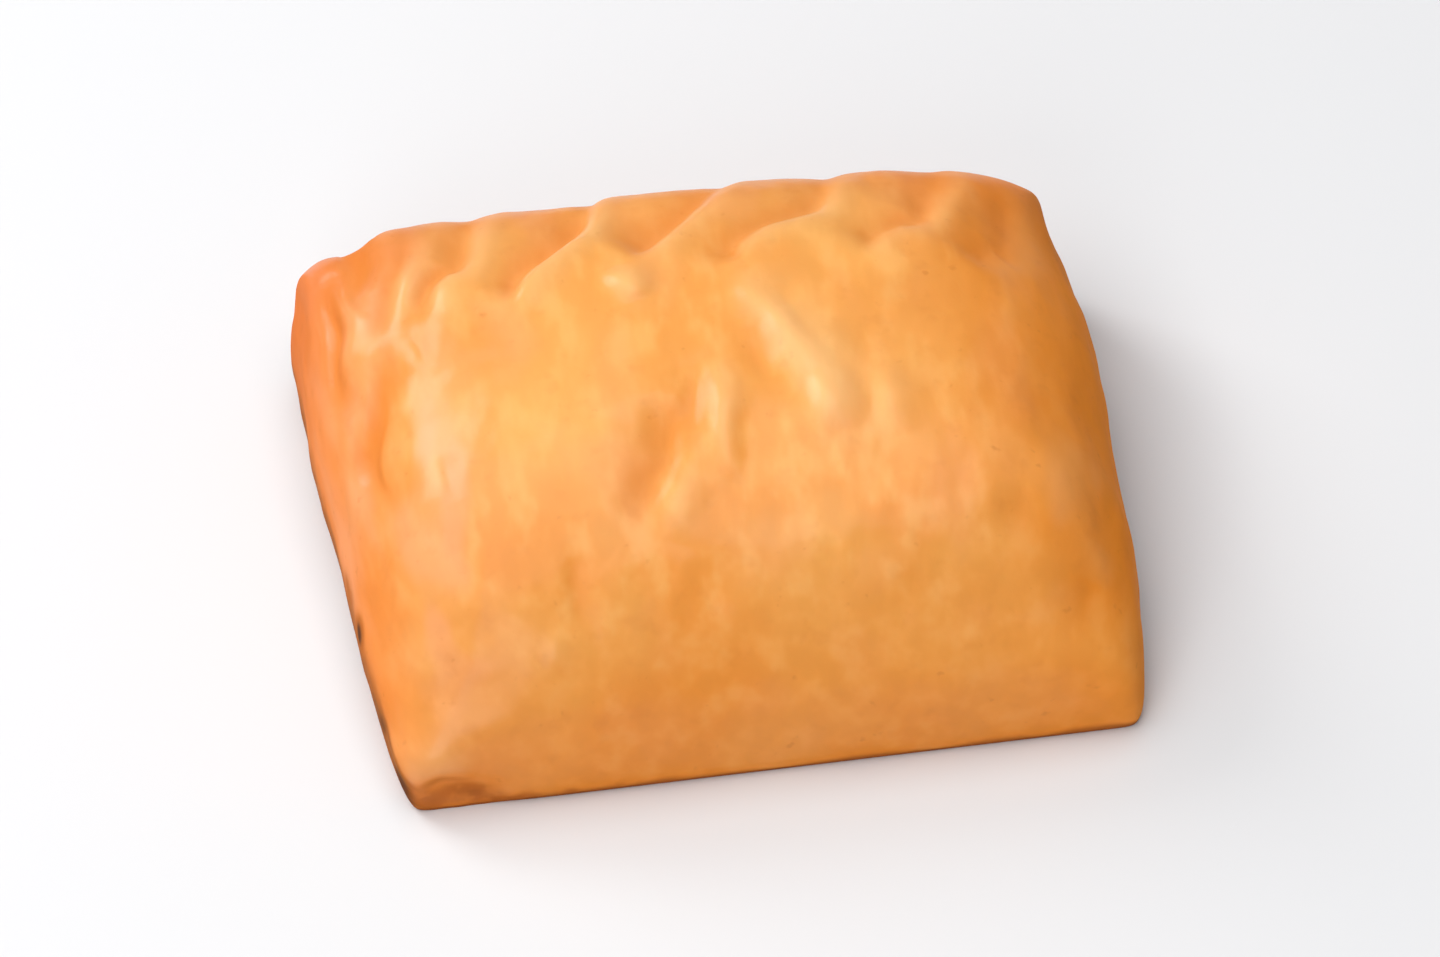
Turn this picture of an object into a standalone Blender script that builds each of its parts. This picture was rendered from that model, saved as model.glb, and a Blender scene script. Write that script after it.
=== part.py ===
"""A baked cheese fatayer: one closed pillow of dough, folded at the front and rope-crimped at the back.

Metres. X runs across the pastry, Y from the folded front edge to the crimped back edge, +Z is up, and
the pastry lies on its flat base with the origin at the middle of the base.
"""

import math

import bpy
import numpy as np

# Driving sizes of the pillow.
FRONT_HALF_WIDTH = 0.0370
FRONT_DEPTH = 0.0314
BACK_DEPTH = 0.0309
HEIGHT = 0.0275
LEFT_SWELL = 0.0038
LEFT_SWELL_SHARE = 0.19
LEFT_FLARE = 0.0027
FLARE_RANGE = (0.15, 1.0)
RIGHT_SWELL = 0.0022
RIGHT_SWELL_BEND = 0.75
RIGHT_SWELL_POWER = 0.8
BACK_SLANT = 0.0008
SLANT_RANGE = (0.005, 0.040)
LEFT_CORNER_SINK = 0.0020
RIGHT_CORNER_SINK = 0.0056
LEFT_DIP = 0.0030
DIP_ACROSS = (0.0335, 0.0370)
DIP_ALONG = (0.45, 0.95)

# How the skin rounds: the height of its widest line, how far the underside tucks in below it, and how round
# it is from side to side, from front to back and upwards. The two ranges, like the dip's, run from -1 at the
# front edge to 1 at the back.
FRONT_EQUATOR = 0.0024
SIDE_EQUATOR = 0.0060
FRONT_BELLY_REACH = 0.0120
SIDE_BELLY_REACH = 0.0150
SIDE_POWER = 4.0
FRONT_POWER = 2.15
BACK_POWER = 4.2
DOME_FRONT_POWER = 2.0
DOME_BACK_POWER = 3.0
BELLY_POWER = 2.0
FRONT_RANGE = (-0.95, -0.40)
BACK_RANGE = (-0.15, 0.45)

# How square the corners are in plan: on the top, how much more at the base in front and behind, and how much
# more at the back.
TOP_SQUARENESS = 1.7
FRONT_BASE_SQUARENESS = 18.0
BACK_BASE_SQUARENESS = 3.0
BACK_SQUARENESS = 2.0
CORNER_HEIGHT = 0.0066

# The rope crimp: a raised bead along the back edge with furrows between its turns. A furrow's depth, its half
# widths on the right and the left of its line, and its line, which is given across the pastry and along the
# path that runs back over the top and down the back wall.
CRIMP_Y = 0.0125
CRIMP_Z = 0.0270
CRIMP_FALL = 0.75
BEAD_RISE = 0.0018
BEAD_PLACE = 0.0215
BEAD_WIDTH = 0.0080
FURROW_SHARPNESS = 1.5
FURROW_START = 0.0040
FURROW_END = 0.0120
EDGE_SHALLOWING = 0.60
EDGE_RANGE = (0.010, 0.018)
ROLL_SHARE = 0.30
ROLL_PLACE = 0.0020
ROLL_WIDTH = 0.0018
CRIMP_FURROWS = (
    (
        0.0005,
        0.0022,
        0.0026,
        ((-0.0341, 0.0010), (-0.0336, 0.0046), (-0.0324, 0.0090), (-0.0308, 0.0130), (-0.0290, 0.0320)),
    ),
    (
        0.0013,
        0.0021,
        0.0026,
        ((-0.0314, 0.0005), (-0.0292, 0.0042), (-0.0270, 0.0068), (-0.0253, 0.0096), (-0.0206, 0.0330)),
    ),
    (
        0.0014,
        0.0010,
        0.0034,
        ((-0.0216, -0.0007), (-0.0190, 0.0037), (-0.0163, 0.0070), (-0.0124, 0.0132), (-0.0078, 0.0340)),
    ),
    (
        0.0012,
        0.0015,
        0.0040,
        ((-0.0088, 0.0038), (-0.0052, 0.0079), (-0.0018, 0.0119), (0.0028, 0.0200), (0.0040, 0.0330)),
    ),
    (
        0.0011,
        0.0018,
        0.0030,
        (
            (0.0026, 0.0010),
            (0.0026, 0.0046),
            (0.0048, 0.0070),
            (0.0088, 0.0092),
            (0.0123, 0.0136),
            (0.0160, 0.0340),
        ),
    ),
    (
        0.0009,
        0.0020,
        0.0032,
        ((0.0142, 0.0012), (0.0164, 0.0036), (0.0194, 0.0066), (0.0228, 0.0094), (0.0265, 0.0330)),
    ),
    (
        0.0006,
        0.0026,
        0.0036,
        ((0.0262, -0.0004), (0.0276, 0.0022), (0.0290, 0.0050), (0.0306, 0.0080), (0.0330, 0.0320)),
    ),
)

# The dent and the roll of dough at the pinched front left corner, across the pastry and upwards: height, half
# widths on the right and the left of the line, and the line. Every fold fades towards its ends, and its width
# changes over a short way across its line.
PINCH_FOLDS = (
    (
        -0.0010,
        0.0014,
        0.0026,
        ((-0.0368, 0.0010), (-0.0352, 0.0030), (-0.0332, 0.0034), (-0.0312, 0.0026), (-0.0296, 0.0006)),
    ),
    (
        0.0006,
        0.0020,
        0.0026,
        ((-0.0382, 0.0030), (-0.0362, 0.0060), (-0.0335, 0.0068), (-0.0300, 0.0052)),
    ),
)
PINCH_RANGE = (-0.0270, -0.0230)
SIDE_BLEND = 0.0006
FOLD_END = 0.03
FOLD_FADE = 0.7

# The larger folds of the top skin, in plan.
TOP_SKIN = (0.010, 0.015)
TOP_FOLDS = (
    (0.00070, 0.0012, 0.0023, ((-0.0018, 0.0015), (-0.0013, -0.0065), (-0.0030, -0.0140))),
    (-0.00072, 0.0034, 0.0018, ((-0.0060, -0.0040), (-0.0090, -0.0125), (-0.0124, -0.0182))),
    (0.00104, 0.0021, 0.0040, ((0.0030, 0.0135), (0.0074, 0.0008), (0.0093, -0.0105))),
    (0.00046, 0.0014, 0.0024, ((0.0151, -0.0015), (0.0157, -0.0060), (0.0156, -0.0115))),
    (0.00080, 0.0013, 0.0026, ((-0.0101, 0.0152), (-0.0092, 0.0126), (-0.0085, 0.0098))),
    (-0.00100, 0.0014, 0.0024, ((-0.0322, 0.0128), (-0.0362, 0.0048), (-0.0367, 0.0010), (-0.0356, -0.0110))),
    (0.00032, 0.0026, 0.0030, ((-0.0288, 0.0095), (-0.0304, -0.0020), (-0.0314, -0.0110))),
    (-0.00120, 0.0020, 0.0018, ((-0.0346, 0.0190), (-0.0350, 0.0260), (-0.0350, 0.0330))),
    (-0.00090, 0.0008, 0.0010, ((-0.0382, 0.0235), (-0.0394, 0.0115), (-0.0388, 0.0060))),
)

# Mesh rows: across, front to back, and up the walls.
COLUMNS = 64
ROWS = 36
WALL_ROWS = 12
BACK_CROWDING = 0.25

# The mesh is read along rays from a small inner block to the faces of a larger outer block.
INNER_BLOCK = (0.0220, 0.0140, 0.0070)
OUTER_BLOCK = (0.0460, 0.0360, 0.0285)
RAY_REACH = 1.3
RAY_STEPS = 34
GRADIENT_STEP = 2e-5
BASE_HOLD = 0.003
SIDE_FADE = (0.60, 0.95)
EDGE_ANGLE = math.radians(50)

CRUST_COLOUR = (0.80, 0.42, 0.13, 1.0)
CRUST_ROUGHNESS = 0.42


def ramp(low, high, value):
    """A smooth step from 0 at low to 1 at high."""
    t = np.clip((value - low) / (high - low), 0.0, 1.0)
    return t * t * (3.0 - 2.0 * t)


def outline(x, y):
    """How far the widest outline reaches to the left, to the right and to the back."""
    along = np.clip((y + FRONT_DEPTH) / (FRONT_DEPTH + BACK_DEPTH), 0.0, 1.0)
    swell = LEFT_SWELL * (1.0 - np.exp(-along / LEFT_SWELL_SHARE))
    left = FRONT_HALF_WIDTH + swell + LEFT_FLARE * ramp(*FLARE_RANGE, along)
    bulge = np.sin(math.pi * along**RIGHT_SWELL_BEND) ** RIGHT_SWELL_POWER
    right = FRONT_HALF_WIDTH + RIGHT_SWELL * bulge
    back = BACK_DEPTH - BACK_SLANT * ramp(*SLANT_RANGE, x)
    return left, right, back


def pillow(x, y, z):
    """Below 0 inside the plain pillow, 0 on its skin and above 0 outside."""
    left, right, back = outline(x, y)
    across = np.abs(x - (right - left) / 2) / ((right + left) / 2)
    middle = (back - FRONT_DEPTH) / 2
    along = (y - middle) / (back - middle)
    behind = ramp(*BACK_RANGE, along)
    off_front = ramp(*FRONT_RANGE, along)
    equator = FRONT_EQUATOR + (SIDE_EQUATOR - FRONT_EQUATOR) * off_front
    belly_reach = FRONT_BELLY_REACH + (SIDE_BELLY_REACH - FRONT_BELLY_REACH) * off_front
    corner_sink = np.where(x > 0, RIGHT_CORNER_SINK, LEFT_CORNER_SINK)
    dip = LEFT_DIP * ramp(*DIP_ACROSS, -x) * ramp(*DIP_ALONG, along)
    dome = HEIGHT - dip - ramp(0.0, 1.0, along) * corner_sink * across**3
    above = z > equator
    rise = np.where(above, (z - equator) / (dome - equator), (equator - z) / belly_reach)
    dome_power = DOME_FRONT_POWER + (DOME_BACK_POWER - DOME_FRONT_POWER) * behind
    power = np.where(above, dome_power, BELLY_POWER)
    base_squareness = FRONT_BASE_SQUARENESS + (BACK_BASE_SQUARENESS - FRONT_BASE_SQUARENESS) * behind
    near_base = np.exp(-((z / CORNER_HEIGHT) ** 2))
    squareness = TOP_SQUARENESS + base_squareness * near_base + BACK_SQUARENESS * behind
    across_power = across**SIDE_POWER
    along_power = np.abs(along) ** (FRONT_POWER + (BACK_POWER - FRONT_POWER) * behind)
    plan = (across_power**squareness + along_power**squareness) ** (1.0 / squareness)
    return rise**power + plan - 1.0


def smooth_path(points, steps=5):
    """A curve through the points, with steps places on each stretch."""
    points = np.asarray(points, float)
    ends = np.concatenate([points[:1], points, points[-1:]])
    t = np.arange(steps)[:, None] / steps
    curve = []
    for before, start, end, after in zip(ends, ends[1:], ends[2:], ends[3:]):
        bend = 2 * before - 5 * start + 4 * end - after
        turn = -before + 3 * start - 3 * end + after
        curve.append(start + 0.5 * ((end - before) * t + bend * t**2 + turn * t**3))
    return np.concatenate([*curve, points[-1:]])


def line_places(a, b, line):
    """Distance from a line, above 0 on its left, and the length passed along it, with the whole length."""
    path = smooth_path(line)
    steps = path[1:] - path[:-1]
    lengths = np.hypot(*steps.T)
    distance = np.full(a.shape, np.inf)
    place = np.zeros(a.shape)
    passed = 0.0
    for start, step, length in zip(path, steps / lengths[:, None], lengths):
        da, db = a - start[0], b - start[1]
        part = np.clip(da * step[0] + db * step[1], 0.0, length)
        side = np.sign(step[0] * db - step[1] * da)
        away = side * np.hypot(da - part * step[0], db - part * step[1])
        closer = np.abs(away) < np.abs(distance)
        distance = np.where(closer, away, distance)
        place = np.where(closer, passed + part, place)
        passed += length
    return distance, place, passed


def fold(a, b, height, right_width, left_width, line):
    """A rounded fold along a line, fading towards both its ends."""
    distance, place, length = line_places(a, b, line)
    width = right_width + (left_width - right_width) * ramp(-SIDE_BLEND, SIDE_BLEND, distance)
    fade = np.sin(math.pi * np.clip(place / length, FOLD_END, 1.0 - FOLD_END)) ** FOLD_FADE
    return height * fade * np.exp(-((distance / width) ** 2))


def crimp_relief(x, y, z):
    """The bead along the back edge and the furrows between its turns."""
    path = y - CRIMP_Y + CRIMP_FALL * (CRIMP_Z - z)
    relief = BEAD_RISE * np.exp(-(((path - BEAD_PLACE) / BEAD_WIDTH) ** 2))
    for depth, right_width, left_width, line in CRIMP_FURROWS:
        distance, place, length = line_places(x, path, line)
        width = right_width + (left_width - right_width) * ramp(-SIDE_BLEND, SIDE_BLEND, distance)
        strength = ramp(0.0, FURROW_START, place) * ramp(0.0, FURROW_END, length - place)
        strength *= 1.0 - EDGE_SHALLOWING * ramp(*EDGE_RANGE, path)
        furrow = np.exp(-((np.abs(distance) / width) ** FURROW_SHARPNESS))
        roll = np.exp(-(((distance + ROLL_PLACE) / ROLL_WIDTH) ** 2))
        relief += depth * strength * (ROLL_SHARE * roll - furrow)
    return relief


def fold_relief(x, y, z):
    """The low folds of the top skin, and the dent and roll at the pinched front left corner."""
    relief = np.zeros(x.shape)
    on_top = ramp(*TOP_SKIN, z)
    for settings in TOP_FOLDS:
        relief += on_top * fold(x, y, *settings)
    on_front = 1.0 - ramp(*PINCH_RANGE, y)
    for settings in PINCH_FOLDS:
        relief += on_front * fold(x, z, *settings)
    return relief


def outward(x, y, z):
    """Unit normals of the plain pillow."""
    step = GRADIENT_STEP
    slope = np.stack(
        [
            pillow(x + step, y, z) - pillow(x - step, y, z),
            pillow(x, y + step, z) - pillow(x, y - step, z),
            pillow(x, y, z + step) - pillow(x, y, z - step),
        ],
        axis=-1,
    )
    return slope / np.linalg.norm(slope, axis=-1, keepdims=True)


def skin_points(i, j, k):
    """Places on the pastry's skin for points of the lattice on the block's top and walls."""
    u = 2 * i / COLUMNS - 1
    t = j / ROWS
    v = 2 * (t + BACK_CROWDING * t * (1 - t)) - 1
    w = k / WALL_ROWS
    block = np.stack([u, v, w], axis=-1)
    start = block * INNER_BLOCK
    reach = block * OUTER_BLOCK - start
    low = np.zeros(len(block))
    high = np.full(len(block), RAY_REACH)
    for _ in range(RAY_STEPS):
        middle = (low + high) / 2
        outside = pillow(*(start + middle[:, None] * reach).T) > 0
        high = np.where(outside, middle, high)
        low = np.where(outside, low, middle)
    points = start + low[:, None] * reach
    normals = outward(*points.T)
    off_side = 1.0 - ramp(*SIDE_FADE, np.abs(normals[:, 0]))
    relief = crimp_relief(*points.T) * off_side + fold_relief(*points.T)
    normals[:, 2] *= ramp(0.0, BASE_HOLD, points[:, 2])
    return points + relief[:, None] * normals


def lattice():
    """Whole-number points on the top and the four walls of the block, and a table of their indices."""
    i, j, k = np.indices((COLUMNS + 1, ROWS + 1, WALL_ROWS + 1))
    on_skin = (k == WALL_ROWS) | (i == 0) | (i == COLUMNS) | (j == 0) | (j == ROWS)
    index = np.full(i.shape, -1)
    index[on_skin] = np.arange(on_skin.sum())
    return i[on_skin], j[on_skin], k[on_skin], index


def patch(corners, flip=False):
    """Four-sided faces between neighbouring points of a table."""
    quads = np.stack([corners[:-1, :-1], corners[1:, :-1], corners[1:, 1:], corners[:-1, 1:]], axis=-1)
    quads = quads.reshape(-1, 4)
    return quads[:, ::-1] if flip else quads


def base_ring(index):
    """The points round the flat base, counter-clockwise from above."""
    bottom = index[:, :, 0]
    return np.concatenate([bottom[:-1, 0], bottom[-1, :-1], bottom[:0:-1, -1], bottom[0, :0:-1]])


def pastry_mesh():
    i, j, k, index = lattice()
    points = skin_points(i, j, k)
    middle = (points.min(axis=0) + points.max(axis=0)) / 2
    points[:, :2] -= middle[:2]
    skin = np.concatenate(
        [
            patch(index[:, :, -1]),
            patch(index[:, 0, :]),
            patch(index[:, -1, :], flip=True),
            patch(index[0, :, :], flip=True),
            patch(index[-1, :, :]),
        ]
    )
    ring = base_ring(index).tolist()
    hub = len(points)
    fan = [(hub, after, before) for before, after in zip(ring, ring[1:] + ring[:1])]
    mesh = bpy.data.meshes.new("pastry")
    mesh.from_pydata(points.tolist() + [(0.0, 0.0, 0.0)], [], skin.tolist() + fan)
    mesh.validate()
    mesh.shade_smooth()
    mesh.set_sharp_from_angle(angle=EDGE_ANGLE)
    return mesh


def crust_material():
    material = bpy.data.materials.new("crust")
    material.use_nodes = True
    shader = material.node_tree.nodes["Principled BSDF"]
    shader.inputs["Base Color"].default_value = CRUST_COLOUR
    shader.inputs["Roughness"].default_value = CRUST_ROUGHNESS
    shader.inputs["Metallic"].default_value = 0.0
    return material


def main():
    for old in list(bpy.data.objects):
        bpy.data.objects.remove(old, do_unlink=True)
    mesh = pastry_mesh()
    mesh.materials.append(crust_material())
    pastry = bpy.data.objects.new("pastry", mesh)
    bpy.context.scene.collection.objects.link(pastry)


main()
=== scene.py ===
"""Looks of a baked cheese fatayer: an egg-washed pillow of dough with a rope crimp along its back edge.

Metres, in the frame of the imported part: X across the pastry, Y from the folded front edge to the crimped
back edge, +Z up, with the origin at the middle of the flat base. The lines and spots in the tables are
placed before the pastry is centred over that origin, which moves them by about 2 mm.
"""

import math
from types import SimpleNamespace

import bpy
import numpy as np
from mathutils import Matrix, Vector


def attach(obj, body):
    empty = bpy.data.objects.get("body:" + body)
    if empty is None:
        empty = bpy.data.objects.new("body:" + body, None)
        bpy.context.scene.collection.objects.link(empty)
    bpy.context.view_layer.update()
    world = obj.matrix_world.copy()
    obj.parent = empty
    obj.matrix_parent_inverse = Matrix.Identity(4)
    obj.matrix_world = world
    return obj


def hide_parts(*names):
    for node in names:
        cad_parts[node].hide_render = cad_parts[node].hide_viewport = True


# Driving sizes of the pillow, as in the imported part. The flare's range runs from 0 at the front edge to 1
# at the back, and the dip's range along the pastry from -1 to 1.
FRONT_HALF_WIDTH = 0.0370
FRONT_DEPTH = 0.0314
BACK_DEPTH = 0.0309
HEIGHT = 0.0275
LEFT_SWELL = 0.0038
LEFT_SWELL_SHARE = 0.19
LEFT_FLARE = 0.0027
FLARE_RANGE = (0.15, 1.0)
RIGHT_SWELL = 0.0022
RIGHT_SWELL_BEND = 0.75
RIGHT_SWELL_POWER = 0.8
BACK_SLANT = 0.0008
SLANT_RANGE = (0.005, 0.040)
LEFT_CORNER_SINK = 0.0020
RIGHT_CORNER_SINK = 0.0056
LEFT_DIP = 0.0030
DIP_ACROSS = (0.0335, 0.0370)
DIP_ALONG = (0.45, 0.95)

# How the skin rounds: the height of its widest line, how far below that line it would close, and how
# round it is from side to side, from front to back and upwards. The two ranges run from -1 at the front
# edge to 1 at the back.
FRONT_EQUATOR = 0.0024
SIDE_EQUATOR = 0.0060
FRONT_BELLY_REACH = 0.0120
SIDE_BELLY_REACH = 0.0150
SIDE_POWER = 4.0
FRONT_POWER = 2.15
BACK_POWER = 4.2
DOME_FRONT_POWER = 2.0
DOME_BACK_POWER = 3.0
BELLY_POWER = 2.0
FRONT_RANGE = (-0.95, -0.40)
BACK_RANGE = (-0.15, 0.45)

# How square the corners are in plan: on the top, how much more at the base in front and behind, and how
# much more at the back. The last number is the height by which the squareness of the base fades.
TOP_SQUARENESS = 1.7
FRONT_BASE_SQUARENESS = 18.0
BACK_BASE_SQUARENESS = 3.0
BACK_SQUARENESS = 2.0
CORNER_HEIGHT = 0.0066

# The rope crimp: a raised bead along the back edge with furrows between its turns. Each row of the table
# is a furrow's depth, its half widths on the right and the left of its line, and its line, which is given
# across the pastry and along a path that runs back over the top and down the back wall. The path is 0 at
# CRIMP_Y where the skin is CRIMP_Z high, and CRIMP_FALL is the share of a drop that adds to it.
CRIMP_Y = 0.0125
CRIMP_Z = 0.0270
CRIMP_FALL = 0.75
BEAD_RISE = 0.0018
BEAD_PLACE = 0.0215
BEAD_WIDTH = 0.0080
FURROW_SHARPNESS = 1.5
FULL_FURROW = 0.0014
FURROW_START = 0.0040
FURROW_END = 0.0120
EDGE_SHALLOWING = 0.60
EDGE_RANGE = (0.010, 0.018)
ROLL_SHARE = 0.30
ROLL_PLACE = 0.0020
ROLL_WIDTH = 0.0018
CRIMP_FURROWS = (
    (
        0.0005,
        0.0022,
        0.0026,
        ((-0.0341, 0.0010), (-0.0336, 0.0046), (-0.0324, 0.0090), (-0.0308, 0.0130), (-0.0290, 0.0320)),
    ),
    (
        0.0013,
        0.0021,
        0.0026,
        ((-0.0314, 0.0005), (-0.0292, 0.0042), (-0.0270, 0.0068), (-0.0253, 0.0096), (-0.0206, 0.0330)),
    ),
    (
        0.0014,
        0.0010,
        0.0034,
        ((-0.0216, -0.0007), (-0.0190, 0.0037), (-0.0163, 0.0070), (-0.0124, 0.0132), (-0.0078, 0.0340)),
    ),
    (
        0.0012,
        0.0015,
        0.0040,
        ((-0.0088, 0.0038), (-0.0052, 0.0079), (-0.0018, 0.0119), (0.0028, 0.0200), (0.0040, 0.0330)),
    ),
    (
        0.0011,
        0.0018,
        0.0030,
        (
            (0.0026, 0.0010),
            (0.0026, 0.0046),
            (0.0048, 0.0070),
            (0.0088, 0.0092),
            (0.0123, 0.0136),
            (0.0160, 0.0340),
        ),
    ),
    (
        0.0009,
        0.0020,
        0.0032,
        ((0.0142, 0.0012), (0.0164, 0.0036), (0.0194, 0.0066), (0.0228, 0.0094), (0.0265, 0.0330)),
    ),
    (
        0.0006,
        0.0026,
        0.0036,
        ((0.0262, -0.0004), (0.0276, 0.0022), (0.0290, 0.0050), (0.0306, 0.0080), (0.0330, 0.0320)),
    ),
)

# Creases along the right wall, which sink a little towards the front and waver.
SEAM_DEPTH = 0.00012
SEAM_WIDTH = 0.0016
SEAM_HEIGHTS = (0.0140, 0.0085)
SEAM_ACROSS = (0.030, 0.036)
SEAM_FRONT_FADE = 0.012
SEAM_FALL = 0.2
SEAM_FALL_RANGE = (-0.030, 0.030)
SEAM_WAVER = 0.0008
SEAM_WAVER_LENGTH = 0.009
SEAM_WAVER_SHIFT = 900

# The dent and the roll of dough at the pinched front left corner, in rows like those of the top folds,
# but with their lines given across the pastry and upwards. The range is how far back they reach.
PINCH_RANGE = (-0.0270, -0.0230)
PINCH_FOLDS = (
    (
        -0.0008,
        0.0022,
        0.0030,
        ((-0.0358, 0.0006), (-0.0342, 0.0026), (-0.0322, 0.0033), (-0.0303, 0.0024), (-0.0288, 0.0004)),
    ),
    (
        0.0006,
        0.0020,
        0.0026,
        ((-0.0382, 0.0030), (-0.0362, 0.0060), (-0.0335, 0.0068), (-0.0300, 0.0052)),
    ),
)

# Lines are drawn with this many steps from point to point. Folds and furrows change width over a short way
# across their lines, and folds fade towards both ends.
PATH_STEPS = 5
SIDE_BLEND = 0.0006
FOLD_END = 0.03
FOLD_FADE = 0.7

# Folds of the top skin, in plan: height, half widths on the right and the left of the line, and the line.
# The range is the height over which they come in.
TOP_SKIN = (0.010, 0.015)
TOP_FOLDS = (
    (
        0.00070,
        0.0012,
        0.0023,
        (
            (-0.0018, 0.0015),
            (-0.0015, -0.0020),
            (-0.0013, -0.0065),
            (-0.0016, -0.0105),
            (-0.0030, -0.0140),
        ),
    ),
    (-0.00035, 0.0012, 0.0008, ((-0.0042, 0.0000), (-0.0041, -0.0040), (-0.0043, -0.0085))),
    (-0.00035, 0.0028, 0.0026, ((-0.0060, -0.0030), (-0.0066, -0.0080), (-0.0080, -0.0108))),
    (
        -0.00030,
        0.0024,
        0.0020,
        ((0.0014, -0.0060), (0.0006, -0.0095), (-0.0006, -0.0122), (-0.0026, -0.0152)),
    ),
    (
        -0.00072,
        0.0034,
        0.0018,
        (
            (-0.0060, -0.0040),
            (-0.0076, -0.0095),
            (-0.0090, -0.0125),
            (-0.0102, -0.0160),
            (-0.0124, -0.0182),
        ),
    ),
    (0.00045, 0.0016, 0.0026, ((-0.0078, -0.0110), (-0.0071, -0.0150), (-0.0081, -0.0198))),
    (
        0.00104,
        0.0021,
        0.0040,
        (
            (0.0030, 0.0135),
            (0.0040, 0.0085),
            (0.0056, 0.0045),
            (0.0074, 0.0008),
            (0.0089, -0.0045),
            (0.0093, -0.0105),
        ),
    ),
    (
        -0.00016,
        0.0014,
        0.0013,
        ((0.0064, 0.0085), (0.0082, 0.0040), (0.0097, 0.0005), (0.0124, -0.0036)),
    ),
    (-0.00038, 0.0016, 0.0015, ((0.0020, 0.0055), (0.0034, 0.0010), (0.0042, -0.0035))),
    (-0.00022, 0.0016, 0.0016, ((0.0062, 0.0105), (0.0070, 0.0060))),
    (0.00046, 0.0014, 0.0024, ((0.0151, -0.0015), (0.0157, -0.0060), (0.0156, -0.0115))),
    (0.00080, 0.0013, 0.0026, ((-0.0101, 0.0152), (-0.0092, 0.0126), (-0.0085, 0.0098))),
    (0.00050, 0.0018, 0.0030, ((0.0083, -0.0025), (0.0093, -0.0065), (0.0094, -0.0108))),
    (0.00030, 0.0028, 0.0030, ((0.0345, -0.0090), (0.0316, -0.0155), (0.0300, -0.0205))),
    (-0.00030, 0.0022, 0.0020, ((0.0272, -0.0165), (0.0262, -0.0225))),
    (-0.00035, 0.0020, 0.0018, ((0.0332, -0.0235), (0.0330, -0.0285))),
    (0.00026, 0.0018, 0.0018, ((0.0338, -0.0195), (0.0338, -0.0245))),
    (-0.00026, 0.0040, 0.0034, ((0.0205, 0.0105), (0.0218, 0.0040))),
    (
        -0.00100,
        0.0014,
        0.0024,
        (
            (-0.0322, 0.0128),
            (-0.0345, 0.0088),
            (-0.0362, 0.0048),
            (-0.0367, 0.0010),
            (-0.0362, -0.0050),
            (-0.0356, -0.0110),
        ),
    ),
    (0.00050, 0.0007, 0.0009, ((-0.0352, 0.0025), (-0.0357, -0.0055))),
    (
        0.00020,
        0.0026,
        0.0030,
        ((-0.0288, 0.0095), (-0.0298, 0.0045), (-0.0304, -0.0020), (-0.0314, -0.0110)),
    ),
    (
        -0.00025,
        0.0008,
        0.0010,
        ((-0.0313, 0.0145), (-0.0311, 0.0115), (-0.0299, 0.0080), (-0.0292, 0.0055)),
    ),
    (-0.00020, 0.0009, 0.0014, ((-0.0296, -0.0045), (-0.0291, -0.0115))),
    (-0.00025, 0.0009, 0.0012, ((-0.0184, -0.0190), (-0.0178, -0.0250))),
    (0.00022, 0.0012, 0.0014, ((-0.0203, -0.0245), (-0.0213, -0.0275))),
    (0.00030, 0.0022, 0.0022, ((-0.0342, -0.0125), (-0.0328, -0.0160), (-0.0314, -0.0200))),
    (0.00036, 0.0022, 0.0026, ((-0.0368, -0.0190), (-0.0352, -0.0225), (-0.0340, -0.0265))),
    (
        -0.00090,
        0.0008,
        0.0010,
        ((-0.0382, 0.0235), (-0.0392, 0.0165), (-0.0394, 0.0115), (-0.0388, 0.0060)),
    ),
    (0.00026, 0.0015, 0.0016, ((-0.0372, 0.0240), (-0.0366, 0.0190), (-0.0374, 0.0105))),
    (-0.00120, 0.0020, 0.0018, ((-0.0346, 0.0190), (-0.0350, 0.0260), (-0.0350, 0.0330))),
    (-0.00022, 0.0010, 0.0013, ((-0.0352, 0.0245), (-0.0358, 0.0195), (-0.0351, 0.0145))),
    (0.00020, 0.0013, 0.0013, ((-0.0338, 0.0230), (-0.0346, 0.0165))),
    (
        0.00030,
        0.0012,
        0.0016,
        ((-0.0298, 0.0225), (-0.0308, 0.0195), (-0.0320, 0.0150), (-0.0328, 0.0115)),
    ),
    (-0.00014, 0.0012, 0.0014, ((-0.0378, -0.0035), (-0.0386, -0.0095))),
    (0.00026, 0.0014, 0.0014, ((-0.0384, 0.0045), (-0.0386, -0.0020), (-0.0376, -0.0105))),
)

# Browned and scorched spots on the walls, and spots of painted shade along the left contour, in the pinched
# dent and along the front base edge: place, radius and strength.
BAKED_AND_SHADED_SPOTS = (
    # Scorch marks on the left wall.
    (-0.0405, -0.0078, 0.0078, 0.0018, 0.45),
    (-0.0401, -0.0137, 0.0086, 0.0015, 1.10),
    # Browning with painted shade along the lower left contour.
    (-0.0390, -0.0225, 0.0050, 0.0024, 0.72),
    (-0.0379, -0.0278, 0.0030, 0.0024, 0.72),
    (-0.0368, -0.0300, 0.0018, 0.0020, 0.70),
    # Painted shade in the pinched dent at the front left corner.
    (-0.0326, -0.0309, 0.0026, 0.0014, 0.40),
    (-0.0306, -0.0310, 0.0022, 0.0016, 0.54),
    (-0.0344, -0.0311, 0.0014, 0.0011, 0.35),
    # Painted contact shadow along the front base edge.
    (-0.0287, -0.0312, 0.0006, 0.0013, 0.50),
    (-0.0258, -0.0312, 0.0004, 0.0016, 0.45),
    (-0.0214, -0.0312, 0.0004, 0.0013, 0.40),
    (-0.0165, -0.0312, 0.0002, 0.0013, 0.40),
)

# Mesh rows: across, front to back, up the walls, and inwards over the base.
COLUMNS = 220
ROWS = 168
WALL_ROWS = 42
BASE_RINGS = 20
BACK_CROWDING = 0.25

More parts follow.
